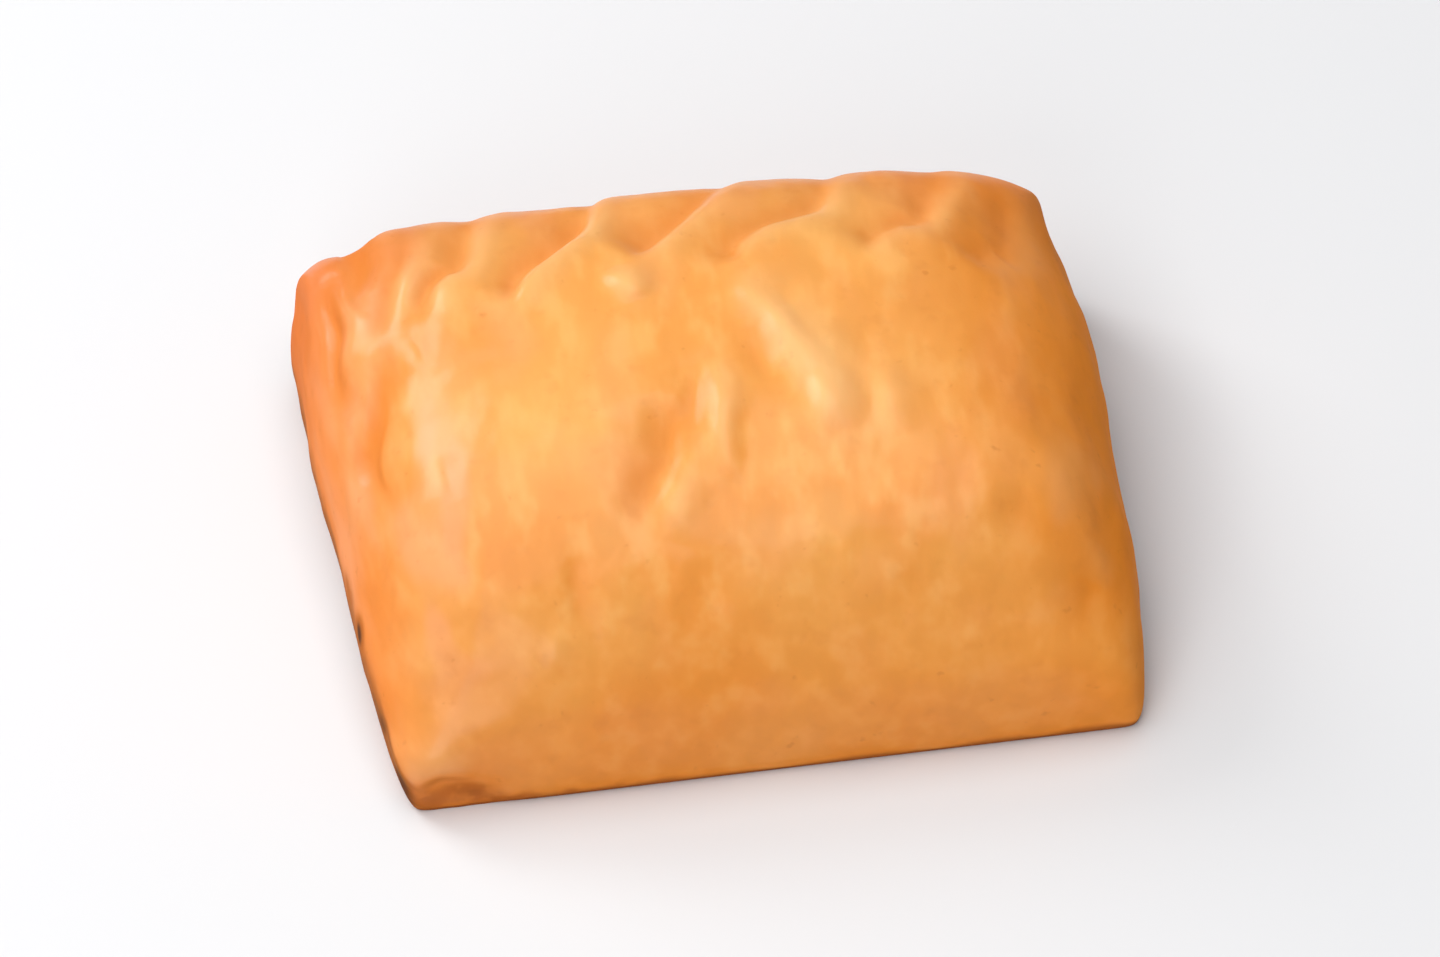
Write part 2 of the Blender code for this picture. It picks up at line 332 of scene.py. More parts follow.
# The skin is found along rays from a small inner block to the faces of a larger outer block. Relief moves
# it along its normals, but only level at the base, and the crimp's relief fades on the side walls.
INNER_BLOCK = (0.0220, 0.0140, 0.0070)
OUTER_BLOCK = (0.0460, 0.0360, 0.0285)
RAY_REACH = 1.3
RAY_STEPS = 40
GRADIENT_STEP = 2e-5
BASE_HOLD = 0.003
SIDE_FADE = (0.60, 0.95)

# Random waves are a sum of this many plane waves, with lengths between these shares of the given one.
WAVE_COUNT = 28
WAVE_SPREAD = (0.8, 1.3)

# Random unevenness of the skin: height and wavelength of each layer, and the heights above the base at
# which it starts and is in full.
UNEVENNESS = ((0.00010, 0.0170), (0.00004, 0.0062), (0.000012, 0.0026))
UNEVEN_RANGE = (0.0005, 0.0060)

# How far the traced lines and spots wander from their places, with a seed for each direction.
WANDER = 0.00022
WANDER_LENGTH = 0.0075
WANDER_SEEDS = (11, 12, 13)

# The relief that counts as a full groove or crest in the looks, and how much of a crest the rolls of the
# crimp are. The grooves get painted shade and the crests a painted highlight.
DEEP_FOLD = 0.0010
ROLL_CREST = 0.65

# The shallow hollows of the base: depth, the waves that shape them as strength, wavelength and seed, and
# the shares of the way out to the rim between which they start.
HOLLOW_DEPTH = 0.00035
HOLLOW_WAVES = ((1.0, 0.016, 21), (0.5, 0.007, 22))
HOLLOW_INSET = (1.0, 0.85)


def ramp(low, high, value):
    """A smooth step from 0 at low to 1 at high."""
    t = np.clip((value - low) / (high - low), 0.0, 1.0)
    return t * t * (3.0 - 2.0 * t)


def outline(x, y):
    """How far the widest outline reaches to the left, to the right and to the back."""
    along = np.clip((y + FRONT_DEPTH) / (FRONT_DEPTH + BACK_DEPTH), 0.0, 1.0)
    swell = LEFT_SWELL * (1.0 - np.exp(-along / LEFT_SWELL_SHARE))
    left = FRONT_HALF_WIDTH + swell + LEFT_FLARE * ramp(*FLARE_RANGE, along)
    bulge = np.sin(math.pi * along**RIGHT_SWELL_BEND) ** RIGHT_SWELL_POWER
    right = FRONT_HALF_WIDTH + RIGHT_SWELL * bulge
    back = BACK_DEPTH - BACK_SLANT * ramp(*SLANT_RANGE, x)
    return left, right, back


def pillow(x, y, z):
    """Below 0 inside the plain pillow, 0 on its skin and above 0 outside."""
    left, right, back = outline(x, y)
    across = np.abs(x - (right - left) / 2) / ((right + left) / 2)
    middle = (back - FRONT_DEPTH) / 2
    along = (y - middle) / (back - middle)
    behind = ramp(*BACK_RANGE, along)
    off_front = ramp(*FRONT_RANGE, along)
    equator = FRONT_EQUATOR + (SIDE_EQUATOR - FRONT_EQUATOR) * off_front
    belly_reach = FRONT_BELLY_REACH + (SIDE_BELLY_REACH - FRONT_BELLY_REACH) * off_front
    corner_sink = np.where(x > 0, RIGHT_CORNER_SINK, LEFT_CORNER_SINK)
    dip = LEFT_DIP * ramp(*DIP_ACROSS, -x) * ramp(*DIP_ALONG, along)
    dome = HEIGHT - dip - ramp(0.0, 1.0, along) * corner_sink * across**3
    above = z > equator
    rise = np.where(above, (z - equator) / (dome - equator), (equator - z) / belly_reach)
    dome_power = DOME_FRONT_POWER + (DOME_BACK_POWER - DOME_FRONT_POWER) * behind
    power = np.where(above, dome_power, BELLY_POWER)
    base_squareness = FRONT_BASE_SQUARENESS + (BACK_BASE_SQUARENESS - FRONT_BASE_SQUARENESS) * behind
    near_base = np.exp(-((z / CORNER_HEIGHT) ** 2))
    squareness = TOP_SQUARENESS + base_squareness * near_base + BACK_SQUARENESS * behind
    across_power = across**SIDE_POWER
    along_power = np.abs(along) ** (FRONT_POWER + (BACK_POWER - FRONT_POWER) * behind)
    plan = (across_power**squareness + along_power**squareness) ** (1.0 / squareness)
    return rise**power + plan - 1.0


def smooth_path(points):
    """A curve of short straight steps through the points."""
    points = np.asarray(points, float)
    ends = np.concatenate([points[:1], points, points[-1:]])
    t = np.arange(PATH_STEPS)[:, None] / PATH_STEPS
    curve = []
    for before, start, end, after in zip(ends, ends[1:], ends[2:], ends[3:]):
        bend = 2 * before - 5 * start + 4 * end - after
        turn = -before + 3 * start - 3 * end + after
        curve.append(start + 0.5 * ((end - before) * t + bend * t**2 + turn * t**3))
    return np.concatenate([*curve, points[-1:]])


def line_places(a, b, line):
    """Distance from a line, above 0 on its left, the length passed along it, and its whole length."""
    path = smooth_path(line)
    steps = path[1:] - path[:-1]
    lengths = np.hypot(*steps.T)
    distance = np.full(a.shape, np.inf)
    place = np.zeros(a.shape)
    passed = 0.0
    for start, step, length in zip(path, steps / lengths[:, None], lengths):
        da, db = a - start[0], b - start[1]
        part = np.clip(da * step[0] + db * step[1], 0.0, length)
        side = np.sign(step[0] * db - step[1] * da)
        away = side * np.hypot(da - part * step[0], db - part * step[1])
        closer = np.abs(away) < np.abs(distance)
        distance = np.where(closer, away, distance)
        place = np.where(closer, passed + part, place)
        passed += length
    return distance, place, passed


def side_width(distance, right_width, left_width):
    """The half width on the side of a line that the distance is on."""
    return right_width + (left_width - right_width) * ramp(-SIDE_BLEND, SIDE_BLEND, distance)


def fold(a, b, height, right_width, left_width, line):
    """A rounded fold along a line, fading towards both its ends."""
    distance, place, length = line_places(a, b, line)
    width = side_width(distance, right_width, left_width)
    fade = np.sin(math.pi * np.clip(place / length, FOLD_END, 1.0 - FOLD_END)) ** FOLD_FADE
    return height * fade * np.exp(-((distance / width) ** 2))


def crimp_relief(x, y, z):
    """The bead along the back edge and the furrows between its turns, with how deep in a furrow and how
    high on the roll beside it each place is, both from 0 to 1."""
    path = y - CRIMP_Y + CRIMP_FALL * (CRIMP_Z - z)
    relief = BEAD_RISE * np.exp(-(((path - BEAD_PLACE) / BEAD_WIDTH) ** 2))
    groove = np.zeros(x.shape)
    highest_roll = np.zeros(x.shape)
    for depth, right_width, left_width, line in CRIMP_FURROWS:
        distance, place, length = line_places(x, path, line)
        width = side_width(distance, right_width, left_width)
        strength = ramp(0.0, FURROW_START, place) * ramp(0.0, FURROW_END, length - place)
        strength *= 1.0 - EDGE_SHALLOWING * ramp(*EDGE_RANGE, path)
        furrow = strength * np.exp(-((np.abs(distance) / width) ** FURROW_SHARPNESS))
        roll = strength * np.exp(-(((distance + ROLL_PLACE) / ROLL_WIDTH) ** 2))
        relief += depth * (ROLL_SHARE * roll - furrow)
        groove = np.maximum(groove, furrow)
        highest_roll = np.maximum(highest_roll, roll * min(1.0, depth / FULL_FURROW))
    return relief, groove, highest_roll


def waves(points, wavelength, seed):
    """Smooth random unevenness of one wavelength, of about unit strength."""
    draw = np.random.default_rng(seed)
    total = np.zeros(len(points))
    for _ in range(WAVE_COUNT):
        direction = draw.normal(size=3)
        direction *= 2 * math.pi / (wavelength * draw.uniform(*WAVE_SPREAD) * np.linalg.norm(direction))
        total += np.cos(points @ direction + draw.uniform(0, 2 * math.pi))
    return total * math.sqrt(2 / WAVE_COUNT)


def seam_relief(x, y, z):
    """Faint creases along the right wall."""
    relief = np.zeros(x.shape)
    on_wall = ramp(*SEAM_ACROSS, x) * ramp(0.0, SEAM_FRONT_FADE, y + FRONT_DEPTH)
    for height in SEAM_HEIGHTS:
        line = height * (1.0 - SEAM_FALL + SEAM_FALL * ramp(*SEAM_FALL_RANGE, y))
        line += SEAM_WAVER * np.sin(y / SEAM_WAVER_LENGTH + height * SEAM_WAVER_SHIFT)
        relief -= SEAM_DEPTH * on_wall * np.exp(-(((z - line) / SEAM_WIDTH) ** 2))
    return relief


def fold_relief(x, y, z):
    """The low folds of the top skin, and the dent and roll at the pinched front left corner."""
    relief = np.zeros(x.shape)
    on_top = ramp(*TOP_SKIN, z)
    for settings in TOP_FOLDS:
        relief += on_top * fold(x, y, *settings)
    on_front = 1.0 - ramp(*PINCH_RANGE, y)
    for settings in PINCH_FOLDS:
        relief += on_front * fold(x, z, *settings)
    return relief


def outward(x, y, z):
    """Unit normals of the plain pillow."""
    step = GRADIENT_STEP
    slope = np.stack(
        [
            pillow(x + step, y, z) - pillow(x - step, y, z),
            pillow(x, y + step, z) - pillow(x, y - step, z),
            pillow(x, y, z + step) - pillow(x, y, z - step),
        ],
        axis=-1,
    )
    return slope / np.linalg.norm(slope, axis=-1, keepdims=True)


def pillow_points(i, j, k):
    """Places on the plain pillow for points of the lattice on the block's top and walls."""
    u = 2 * i / COLUMNS - 1
    t = j / ROWS
    v = 2 * (t + BACK_CROWDING * t * (1 - t)) - 1
    w = k / WALL_ROWS
    block = np.stack([u, v, w], axis=-1)
    start = block * INNER_BLOCK
    reach = block * OUTER_BLOCK - start
    low = np.zeros(len(block))
    high = np.full(len(block), RAY_REACH)
    for _ in range(RAY_STEPS):
        middle = (low + high) / 2
        outside = pillow(*(start + middle[:, None] * reach).T) > 0
        high = np.where(outside, middle, high)
        low = np.where(outside, low, middle)
    return start + low[:, None] * reach


def spot_darkening(points):
    """How strongly the spots, scorch marks and painted shade, darken each place, from 0 to 1."""
    scorch = np.zeros(len(points))
    for *spot, radius, strength in BAKED_AND_SHADED_SPOTS:
        away = np.linalg.norm(points - spot, axis=1)
        scorch += strength * np.exp(-((away / radius) ** 2))
    return np.clip(scorch, 0.0, 1.0)


def skin_points(points):
    """The plain pillow's places moved by all the relief, and the looks that the colours go by."""
    normals = outward(*points.T)
    wander = [WANDER * waves(points, WANDER_LENGTH, seed) for seed in WANDER_SEEDS]
    traced = points + np.stack(wander, axis=-1)
    crimp, groove, roll = crimp_relief(*traced.T)
    off_side = 1.0 - ramp(*SIDE_FADE, np.abs(normals[:, 0]))
    folds = fold_relief(*traced.T) + seam_relief(*traced.T)
    uneven = sum(size * waves(points, length, seed) for seed, (size, length) in enumerate(UNEVENNESS))
    relief = crimp * off_side + folds + uneven * ramp(*UNEVEN_RANGE, points[:, 2])
    normals[:, 2] *= ramp(0.0, BASE_HOLD, points[:, 2])
    # The groove gets painted shade and the crest a painted highlight; the spots are scorch marks and
    # painted shade.
    looks = {
        "groove": np.clip(groove * off_side - folds / DEEP_FOLD, 0.0, 1.0),
        "crest": np.clip(folds / DEEP_FOLD + ROLL_CREST * roll * off_side, 0.0, 1.0),
        "scorch": spot_darkening(traced),
    }
    return points + relief[:, None] * normals, looks


def lattice():
    """Whole-number points on the top and the four walls of the block, and a table of their indices."""
    i, j, k = np.indices((COLUMNS + 1, ROWS + 1, WALL_ROWS + 1))
    on_skin = (k == WALL_ROWS) | (i == 0) | (i == COLUMNS) | (j == 0) | (j == ROWS)
    index = np.full(i.shape, -1)
    index[on_skin] = np.arange(on_skin.sum())
    return i[on_skin], j[on_skin], k[on_skin], index


def patch(corners, flip=False):
    """Four-sided faces between neighbouring points of a table."""
    quads = np.stack([corners[:-1, :-1], corners[1:, :-1], corners[1:, 1:], corners[:-1, 1:]], axis=-1)
    quads = quads.reshape(-1, 4)
    return quads[:, ::-1] if flip else quads


def base_ring(index):
    """The points round the flat base, counter-clockwise from above."""
    bottom = index[:, :, 0]
    return np.concatenate([bottom[:-1, 0], bottom[-1, :-1], bottom[:0:-1, -1], bottom[0, :0:-1]])


def base_points(rim):
    """Rings of points inwards over the base, with shallow hollows between its places of contact."""
    share = 1.0 - np.arange(1, BASE_RINGS)[:, None, None] / BASE_RINGS
    points = (rim[None, :, :] * share).reshape(-1, 3)
    points[:, 2] = 0.0
    wave = sum(strength * waves(points, length, seed) for strength, length, seed in HOLLOW_WAVES)
    hollow = 0.5 + 0.5 * np.clip(wave, -1.0, 1.0)
    inset = np.repeat(ramp(*HOLLOW_INSET, share.ravel()), len(rim))
    points[:, 2] = HOLLOW_DEPTH * hollow * inset
    return points


def skin_faces(index, rings):
    """Four-sided faces of the top, the walls and the rings of the base."""
    return np.concatenate(
        [
            patch(index[:, :, -1]),
            patch(index[:, 0, :]),
            patch(index[:, -1, :], flip=True),
            patch(index[0, :, :], flip=True),
            patch(index[-1, :, :]),
            patch(rings),
        ]
    )


def pastry_mesh():
    """The whole pastry as one closed mesh, centred over the origin, with its looks as attributes."""
    i, j, k, index = lattice()
    points, looks = skin_points(pillow_points(i, j, k))
    middle = (points.min(axis=0) + points.max(axis=0)) / 2
    points[:, :2] -= middle[:2]
    ring = base_ring(index)
    inner = base_points(points[ring])
    hub = len(points) + len(inner)
    rings = np.concatenate([ring, np.arange(len(points), hub)]).reshape(BASE_RINGS, -1)
    rings = np.concatenate([rings, rings[:, :1]], axis=1)
    last = rings[-1]
    fan = [(hub, int(after), int(before)) for before, after in zip(last[:-1], last[1:])]
    points = np.concatenate([points, inner, [[0.0, 0.0, inner[-1, 2]]]])
    mesh = bpy.data.meshes.new("crust_skin")
    mesh.from_pydata(points.tolist(), [], skin_faces(index, rings).tolist() + fan)
    mesh.validate()
    mesh.shade_smooth()
    for name, values in looks.items():
        shares = np.zeros(len(points), np.float32)
        shares[: len(values)] = values
        mesh.attributes.new(name, "FLOAT", "POINT").data.foreach_set("value", shares)
    return mesh


class Nodes:
    """Short calls that add nodes to one material."""

    def __init__(self, name):
        self.material = bpy.data.materials.new(name)
        self.material.use_nodes = True
        self.tree = self.material.node_tree
        self.shader = self.tree.nodes["Principled BSDF"]

    def add(self, kind, **settings):
        """A new node with its settings."""
        node = self.tree.nodes.new(kind)
        for name, value in settings.items():
            setattr(node, name, value)
        return node

    def put(self, socket, value):
        """Links a node's output to a socket, or writes a plain value on it."""
        if isinstance(value, bpy.types.NodeSocket):
            self.tree.links.new(value, socket)
        else:
            socket.default_value = value

    def noise(self, place, scale, detail, roughness):
        """Cloudy random mottling between 0 and 1."""
        node = self.add("ShaderNodeTexNoise")
        self.put(node.inputs["Vector"], place)
        for name, value in (("Scale", scale), ("Detail", detail), ("Roughness", roughness)):
            node.inputs[name].default_value = value
        return node.outputs["Fac"]

    def steps(self, value, low, high, out_low=0.0, out_high=1.0):
        """A smooth change from out_low to out_high as value goes from low to high."""
        node = self.add("ShaderNodeMapRange", interpolation_type="SMOOTHSTEP")
        for socket, number in zip(node.inputs, (value, low, high, out_low, out_high)):
            self.put(socket, number)
        return node.outputs["Result"]

    def combine(self, kind, a, b):
        """Arithmetic on two numbers."""
        node = self.add("ShaderNodeMath", operation=kind)
        self.put(node.inputs[0], a)
        self.put(node.inputs[1], b)
        return node.outputs[0]

    def times(self, a, b):
        """The product of two numbers."""
        return self.combine("MULTIPLY", a, b)

    def blend(self, share, a, b, kind="MIX"):
        """Colour a blended with a share of colour b."""
        node = self.add("ShaderNodeMix", data_type="RGBA", blend_type=kind)
        self.put(node.inputs["Factor"], share)
        # The colour sockets go by number, because others of the node share their names.
        self.put(node.inputs[6], a)
        self.put(node.inputs[7], b)
        return node.outputs[2]

    def attribute(self, name):
        """One of the looks that the mesh carries."""
        return self.add("ShaderNodeAttribute", attribute_name=name).outputs["Fac"]

    def split(self, vector):
        """The X, Y and Z of a vector."""
        node = self.add("ShaderNodeSeparateXYZ")
        self.put(node.inputs[0], vector)
        return node.outputs


# Colours of the crust. Some of them stand in for light: painted sheen, highlight, reflection and shade.
GOLD = (0.885, 0.386, 0.086, 1.0)
AMBER = (0.865, 0.312, 0.050, 1.0)
# Deeper amber of the walls, partly their own colour and partly painted shade.
DEEP_AMBER = (0.860, 0.262, 0.024, 1.0)
# Deeper red-orange of the left flank, partly the crust's own colour and partly painted warm reflected
# light.
LEFT_FLANK_AND_REFLECTION = (0.855, 0.248, 0.058, 1.0)
# Painted shade and warm reflected light on the right flank.
PAINTED_RIGHT_SHADE = (0.900, 0.255, 0.012, 1.0)
# Pale dough: in random patches, and as a painted sheen on the top.
PALE = (0.905, 0.470, 0.145, 1.0)
# Painted pink sheen: the white light's reflection on the left flank and shoulder.
PAINTED_PINK_SHEEN = (0.930, 0.385, 0.160, 1.0)
# Painted highlight: a creamy colour on the crests of folds and crimp rolls.
PAINTED_HIGHLIGHT = (0.950, 0.560, 0.240, 1.0)
BROWN = (0.500, 0.130, 0.015, 1.0)
# Russet: browning at the back corners, and painted shade along the back edge.
RUSSET = (0.780, 0.190, 0.030, 1.0)
# Painted shade in the furrows and creases.
PAINTED_CREASE_SHADE = (0.660, 0.175, 0.024, 1.0)
# Dark toasted brown of the base edge, which also paints shade along the left contour.
TOAST_AND_SHADE_BROWN = (0.250, 0.078, 0.016, 1.0)
# The spots' dark core: scorch marks, and painted shade along the left contour.
SCORCH_AND_SHADE_CORE = (0.100, 0.028, 0.005, 1.0)
# Painted shade that darkens the brightly lit left part of the top.
PAINTED_LEFT_SHADE = (0.955, 0.900, 0.940, 1.0)

# Noise of the crust: scale, detail and roughness. The second table's is drawn out from front to back.
NOISE = {
    "patches": (55.0, 2.0, 0.5),
    "blotches": (420.0, 2.0, 0.5),
    "specks": (620.0, 2.0, 0.5),
    "waver": (130.0, 2.0, 0.5),
    "toasting": (260.0, 3.0, 0.6),
    "grain": (1500.0, 3.0, 0.6),
}
LONG_NOISE = {
    "mottle": (330.0, 2.5, 0.5),
    # The noise that places the painted pink sheen.
    "blush": (150.0, 1.5, 0.5),
}
DRAWN_OUT = (1.0, 0.4, 1.0)

# Where the colours come in, as settings of Nodes.steps: a range of places, facings or noise, and the share
# at its two ends where that isn't 0 and 1.
GOLD_PATCHES = (0.35, 0.65)
PALE_MOTTLE = (0.45, 0.75, 0.0, 0.50)
# Painted sheen: paler where the skin faces straight up.
PAINTED_TOP_SHEEN = (0.90, 1.0, 0.0, 0.25)
# Deeper amber as the skin turns from upward: partly the walls' own colour, partly painted shade.
WALL_COLOUR_AND_SHADE = (0.20, 0.95, 0.6, 0.0)
# Painted shade and warm reflected light on the right flank, fading towards the front.
RIGHT_SHADE_ACROSS = (0.020, 0.040)
RIGHT_SHADE_ALONG = (-0.031, -0.018, 0.35, 0.90)
# The left flank: partly the crust's own colour, partly painted warm reflected light.
LEFT_FLANK_AND_REFLECTION_ACROSS = (-0.030, -0.042, 0.0, 0.75)
# Painted pink sheen in patches, stronger towards the left and weaker towards the front.
PINK_SHEEN_NOISE = (0.48, 0.70)
PINK_SHEEN_ACROSS = (-0.010, -0.036, 0.18, 0.60)
PINK_SHEEN_ALONG = (-0.030, -0.021, 0.35, 1.0)
RUSSET_LEFT = (-0.030, -0.042)
RUSSET_RIGHT = (0.030, 0.042, 0.0, 0.15)
RUSSET_ALONG = (0.006, 0.026, 0.0, 0.6)
# Painted shade: russet along the back edge, where the skin turns away from the light.
PAINTED_BACK_SHADE = (0.017, 0.029, 0.0, 0.38)
MOTTLE_SHADE = (0.3, 0.7, 0.95, 1.02)
# Painted shade on the left part of the top.
LEFT_SHADE_ACROSS = (-0.018, -0.028)
# Painted shade: a little darker towards the back.
BACK_SHADE = (0.012, 0.022, 1.0, 0.95)
BROWN_BLOTCHES = (0.45, 0.2, 0.0, 0.12)
BROWN_SPECKS = (0.68, 0.82, 0.0, 0.30)
# Painted shade in the grooves.
CREASE_SHADE_SHARE = 0.50
# Painted highlight on the crests.
PAINTED_HIGHLIGHT_SHARE = 0.55

# Browning where the skin faces down, partly the baked underside and partly painted shade: stronger on the
# left wall, where it paints the dark left contour, weaker along the front edge but for its left corner,
# with a wavering edge, and only near the base. The last two make a thin rim round the base, partly a
# browned edge and partly painted contact shadow.
# Painted shade on the left wall, added to the browning.
BAKED_AND_SHADED_ACROSS = (-0.0335, -0.0375)
BAKED_AND_SHADED_ALONG = (-0.015, 0.005, 0.31, 0.22)
SPARED_ALONG = (-0.0240, -0.0290, 0.0, 0.20)
SPARED_ACROSS = (-0.0350, -0.0310)
BAKED_WAVER = (0.3, 0.7, -0.07, 0.07)
NEAR_BASE = (0.0115, 0.0060)
BROWN_FACING = (0.02, -0.20, 0.0, 0.75)
TOASTED_FACING = (-0.08, -0.28)
TOASTED_PATCHES = (0.34, 0.60, 0.40, 0.85)
RIM_WAVER = (0.3, 0.7, -0.0003, 0.0003)
RIM_HEIGHT = (0.0011, 0.0002, 0.0, 0.6)

# The brown halo and the dark core of the spots, which are scorch marks and painted shade.
HALO_BLOTCHES = (0.35, 0.60, 0.60, 1.20)
HALO_SHARE = (0.0, 0.5, 0.0, 0.9)
CORE_SHARE = (0.4, 1.0, 0.0, 0.97)

# The egg wash covers what faces neither sideways nor down, and is thin in grooves, on the scorched and
# shaded spots and on the right.
WASHED_SIDEWAYS = (0.90, 0.60)
WASHED_UPWARD = (-0.20, 0.15)
BARE_ACROSS = (0.026, 0.038, 0.0, 0.7)
BARE_WASH = (0.0, 1.0, 1.0, 0.1)
WASHED_ROUGHNESS = (0.3, 0.7, 0.42, 0.55)
DRY_ROUGHNESS = 0.80
COAT = 0.42
FINISH = {
    "Specular IOR Level": 0.10,
    "Coat Roughness": 0.24,
    "Subsurface Weight": 0.10,
    "Subsurface Radius": (1.0, 0.45, 0.2),
    "Subsurface Scale": 0.0010,
}
GRAIN_SHARE = 0.5
BUMP = {"Strength": 0.3, "Distance": 0.00010}


def crust_fields(nodes):
    """What the colours and the gloss go by: place, facing, noise, and the looks that the mesh carries."""
    place = nodes.add("ShaderNodeTexCoord").outputs["Object"]
    long_place = nodes.add("ShaderNodeMapping")
    long_place.inputs["Scale"].default_value = DRAWN_OUT
    nodes.put(long_place.inputs["Vector"], place)
    x, y, z = nodes.split(place)
    facing = nodes.split(nodes.add("ShaderNodeNewGeometry").outputs["Normal"])
    noise = {name: nodes.noise(place, *settings) for name, settings in NOISE.items()}
    for name, settings in LONG_NOISE.items():
        noise[name] = nodes.noise(long_place.outputs[0], *settings)
    looks = {name: nodes.attribute(name) for name in ("groove", "crest", "scorch")}
    sideways = nodes.combine("ABSOLUTE", facing["X"], 0.0)
    return SimpleNamespace(x=x, y=y, z=z, upward=facing["Z"], sideways=sideways, **noise, **looks)


def baked_dough(nodes, fields):
    """Golden dough with painted sheen on its top; walls deeper, partly their own colour and partly painted
    shade; a deeper left flank with painted pink sheen and warm reflection; painted shade on its right, its
    left and along its back; russet browning at its back corners.
    """
    colour = nodes.blend(nodes.steps(fields.patches, *GOLD_PATCHES), AMBER, GOLD)
    colour = nodes.blend(nodes.steps(fields.mottle, *PALE_MOTTLE), colour, PALE)
    # Painted sheen: paler where the skin faces straight up.
    colour = nodes.blend(nodes.steps(fields.upward, *PAINTED_TOP_SHEEN), colour, PALE)
    # Deeper walls: partly their own colour, partly painted shade on faces turned from the light.
    colour = nodes.blend(nodes.steps(fields.upward, *WALL_COLOUR_AND_SHADE), colour, DEEP_AMBER)
    # Painted shade and warm reflected light on the right flank.
    right = nodes.times(nodes.steps(fields.x, *RIGHT_SHADE_ACROSS), nodes.steps(fields.y, *RIGHT_SHADE_ALONG))
    colour = nodes.blend(right, colour, PAINTED_RIGHT_SHADE)
    # Left flank: partly the crust's own colour, partly painted warm reflected light.
    colour = nodes.blend(nodes.steps(fields.x, *LEFT_FLANK_AND_REFLECTION_ACROSS), colour, LEFT_FLANK_AND_REFLECTION)
    # Painted pink sheen: patches of reflected white light, mostly on the left.
    pink_sheen = nodes.times(nodes.steps(fields.x, *PINK_SHEEN_ACROSS), nodes.steps(fields.y, *PINK_SHEEN_ALONG))
    colour = nodes.blend(nodes.times(nodes.steps(fields.blush, *PINK_SHEEN_NOISE), pink_sheen), colour, PAINTED_PINK_SHEEN)
    left_side = nodes.steps(fields.x, *RUSSET_LEFT)
    sides = nodes.combine("ADD", left_side, nodes.steps(fields.x, *RUSSET_RIGHT))
    colour = nodes.blend(nodes.times(sides, nodes.steps(fields.y, *RUSSET_ALONG)), colour, RUSSET)
    # Painted shade along the back edge, where the skin turns away from the light.
    colour = nodes.blend(nodes.steps(fields.y, *PAINTED_BACK_SHADE), colour, RUSSET)
    colour = nodes.blend(1.0, colour, nodes.steps(fields.mottle, *MOTTLE_SHADE), "MULTIPLY")
    # Painted shade: the left part of the top is darkened.
    colour = nodes.blend(nodes.steps(fields.x, *LEFT_SHADE_ACROSS), colour, PAINTED_LEFT_SHADE, "MULTIPLY")
    # Painted shade: a little darker towards the back.
    return nodes.blend(1.0, colour, nodes.steps(fields.y, *BACK_SHADE), "MULTIPLY")


def marked(nodes, fields, colour):
    """Brown blotches and specks, painted shade in the furrows and creases, and painted highlights on the
    crests.
    """
    colour = nodes.blend(nodes.steps(fields.blotches, *BROWN_BLOTCHES), colour, BROWN)
    colour = nodes.blend(nodes.steps(fields.specks, *BROWN_SPECKS), colour, BROWN)
    # Painted shade in the furrows and creases.
    colour = nodes.blend(nodes.times(fields.groove, CREASE_SHADE_SHARE), colour, PAINTED_CREASE_SHADE)
    # Painted highlight: a creamy colour on the crests.
    return nodes.blend(nodes.times(fields.crest, PAINTED_HIGHLIGHT_SHARE), colour, PAINTED_HIGHLIGHT)


def browned(nodes, fields, colour):
    """Browning low on the walls and on the base, with painted shade along the left contour, and a thin
    brown rim that is partly painted contact shadow.
    """
    # Painted shade: the browning starts higher on the left wall to darken the left contour.
    left = nodes.times(nodes.steps(fields.x, *BAKED_AND_SHADED_ACROSS), nodes.steps(fields.y, *BAKED_AND_SHADED_ALONG))
    spared = nodes.times(nodes.steps(fields.y, *SPARED_ALONG), nodes.steps(fields.x, *SPARED_ACROSS))
    facing = nodes.combine("ADD", nodes.combine("SUBTRACT", fields.upward, left), spared)
    facing = nodes.combine("ADD", facing, nodes.steps(fields.waver, *BAKED_WAVER))
    near_base = nodes.steps(fields.z, *NEAR_BASE)
    colour = nodes.blend(nodes.times(nodes.steps(facing, *BROWN_FACING), near_base), colour, BROWN)
    toasting = nodes.times(nodes.steps(fields.toasting, *TOASTED_PATCHES), near_base)
    colour = nodes.blend(nodes.times(nodes.steps(facing, *TOASTED_FACING), toasting), colour, TOAST_AND_SHADE_BROWN)
    height = nodes.combine("ADD", fields.z, nodes.steps(fields.waver, *RIM_WAVER))
    # A thin brown rim round the base, partly painted contact shadow.
    return nodes.blend(nodes.steps(height, *RIM_HEIGHT), colour, BROWN)


def scorch_and_shade_spots(nodes, fields, colour):
    """Spots with a brown halo and a dark core: scorch marks, and painted shade."""
    halo = nodes.times(fields.scorch, nodes.steps(fields.blotches, *HALO_BLOTCHES))
    colour = nodes.blend(nodes.steps(halo, *HALO_SHARE), colour, BROWN, "DARKEN")
    return nodes.blend(nodes.steps(fields.scorch, *CORE_SHARE), colour, SCORCH_AND_SHADE_CORE)


def egg_wash(nodes, fields):
    """How much of the glossy egg wash lies on each place."""
    wash = nodes.steps(fields.sideways, *WASHED_SIDEWAYS)
    wash = nodes.times(wash, nodes.steps(fields.upward, *WASHED_UPWARD))
    bare = nodes.combine("MAXIMUM", fields.groove, nodes.steps(fields.x, *BARE_ACROSS))
    bare = nodes.combine("MAXIMUM", bare, fields.scorch)
    return nodes.times(wash, nodes.steps(bare, *BARE_WASH))


